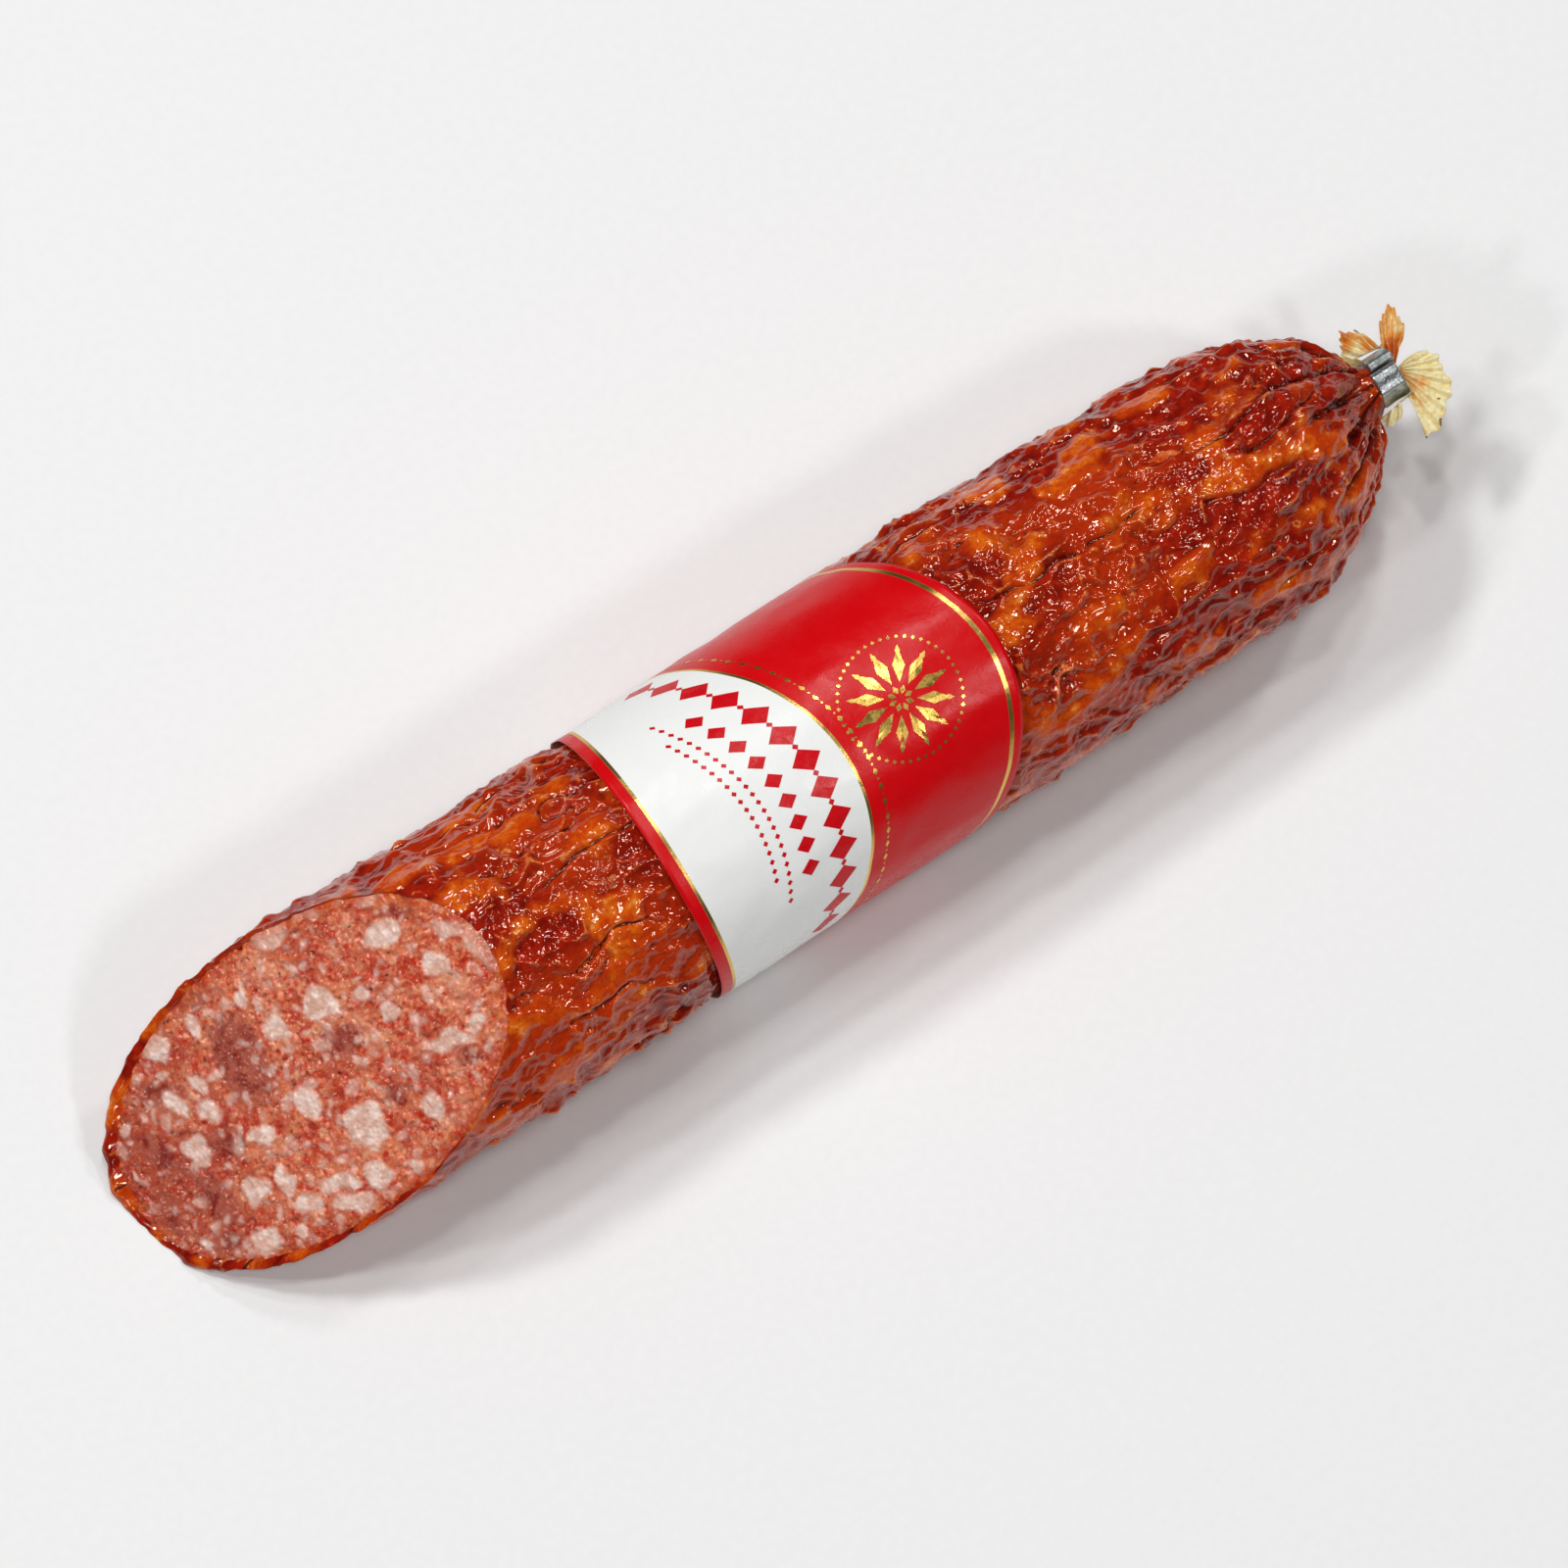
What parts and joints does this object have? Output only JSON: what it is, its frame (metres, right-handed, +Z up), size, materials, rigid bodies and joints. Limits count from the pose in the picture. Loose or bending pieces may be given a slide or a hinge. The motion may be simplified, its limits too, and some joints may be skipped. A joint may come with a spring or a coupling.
{
  "type": "cured sausage",
  "caption": "Thick semi-dry cured sausage lying on its side, cut on the bias at one end, clipped and frilled at the other, with a plain film label sleeve.",
  "frame": {"origin": "middle of the underside, on the surface that the sausage rests on", "axes": "+X along the stick towards the clip, +Y to its hidden side, +Z up"},
  "size_m": [0.2896, 0.0584, 0.0556],
  "materials": {
    "cured_meat": "moist cut mince, salmon red with pale fat dice and darker lean pieces",
    "casing_film": "glossy smoked casing, finely wrinkled, brick red to orange where fat shows through, cream at the tail",
    "clip_metal": "dull crimped wire with flattened faces and tool marks",
    "label_film": "glossy printed film in plain red and white with thin gold foil lines"
  },
  "bodies": {
    "root": {"meat_filling": "cured_meat", "casing": "casing_film", "end_clip": "clip_metal", "label_sleeve": "label_film"}
  },
  "joints": []
}
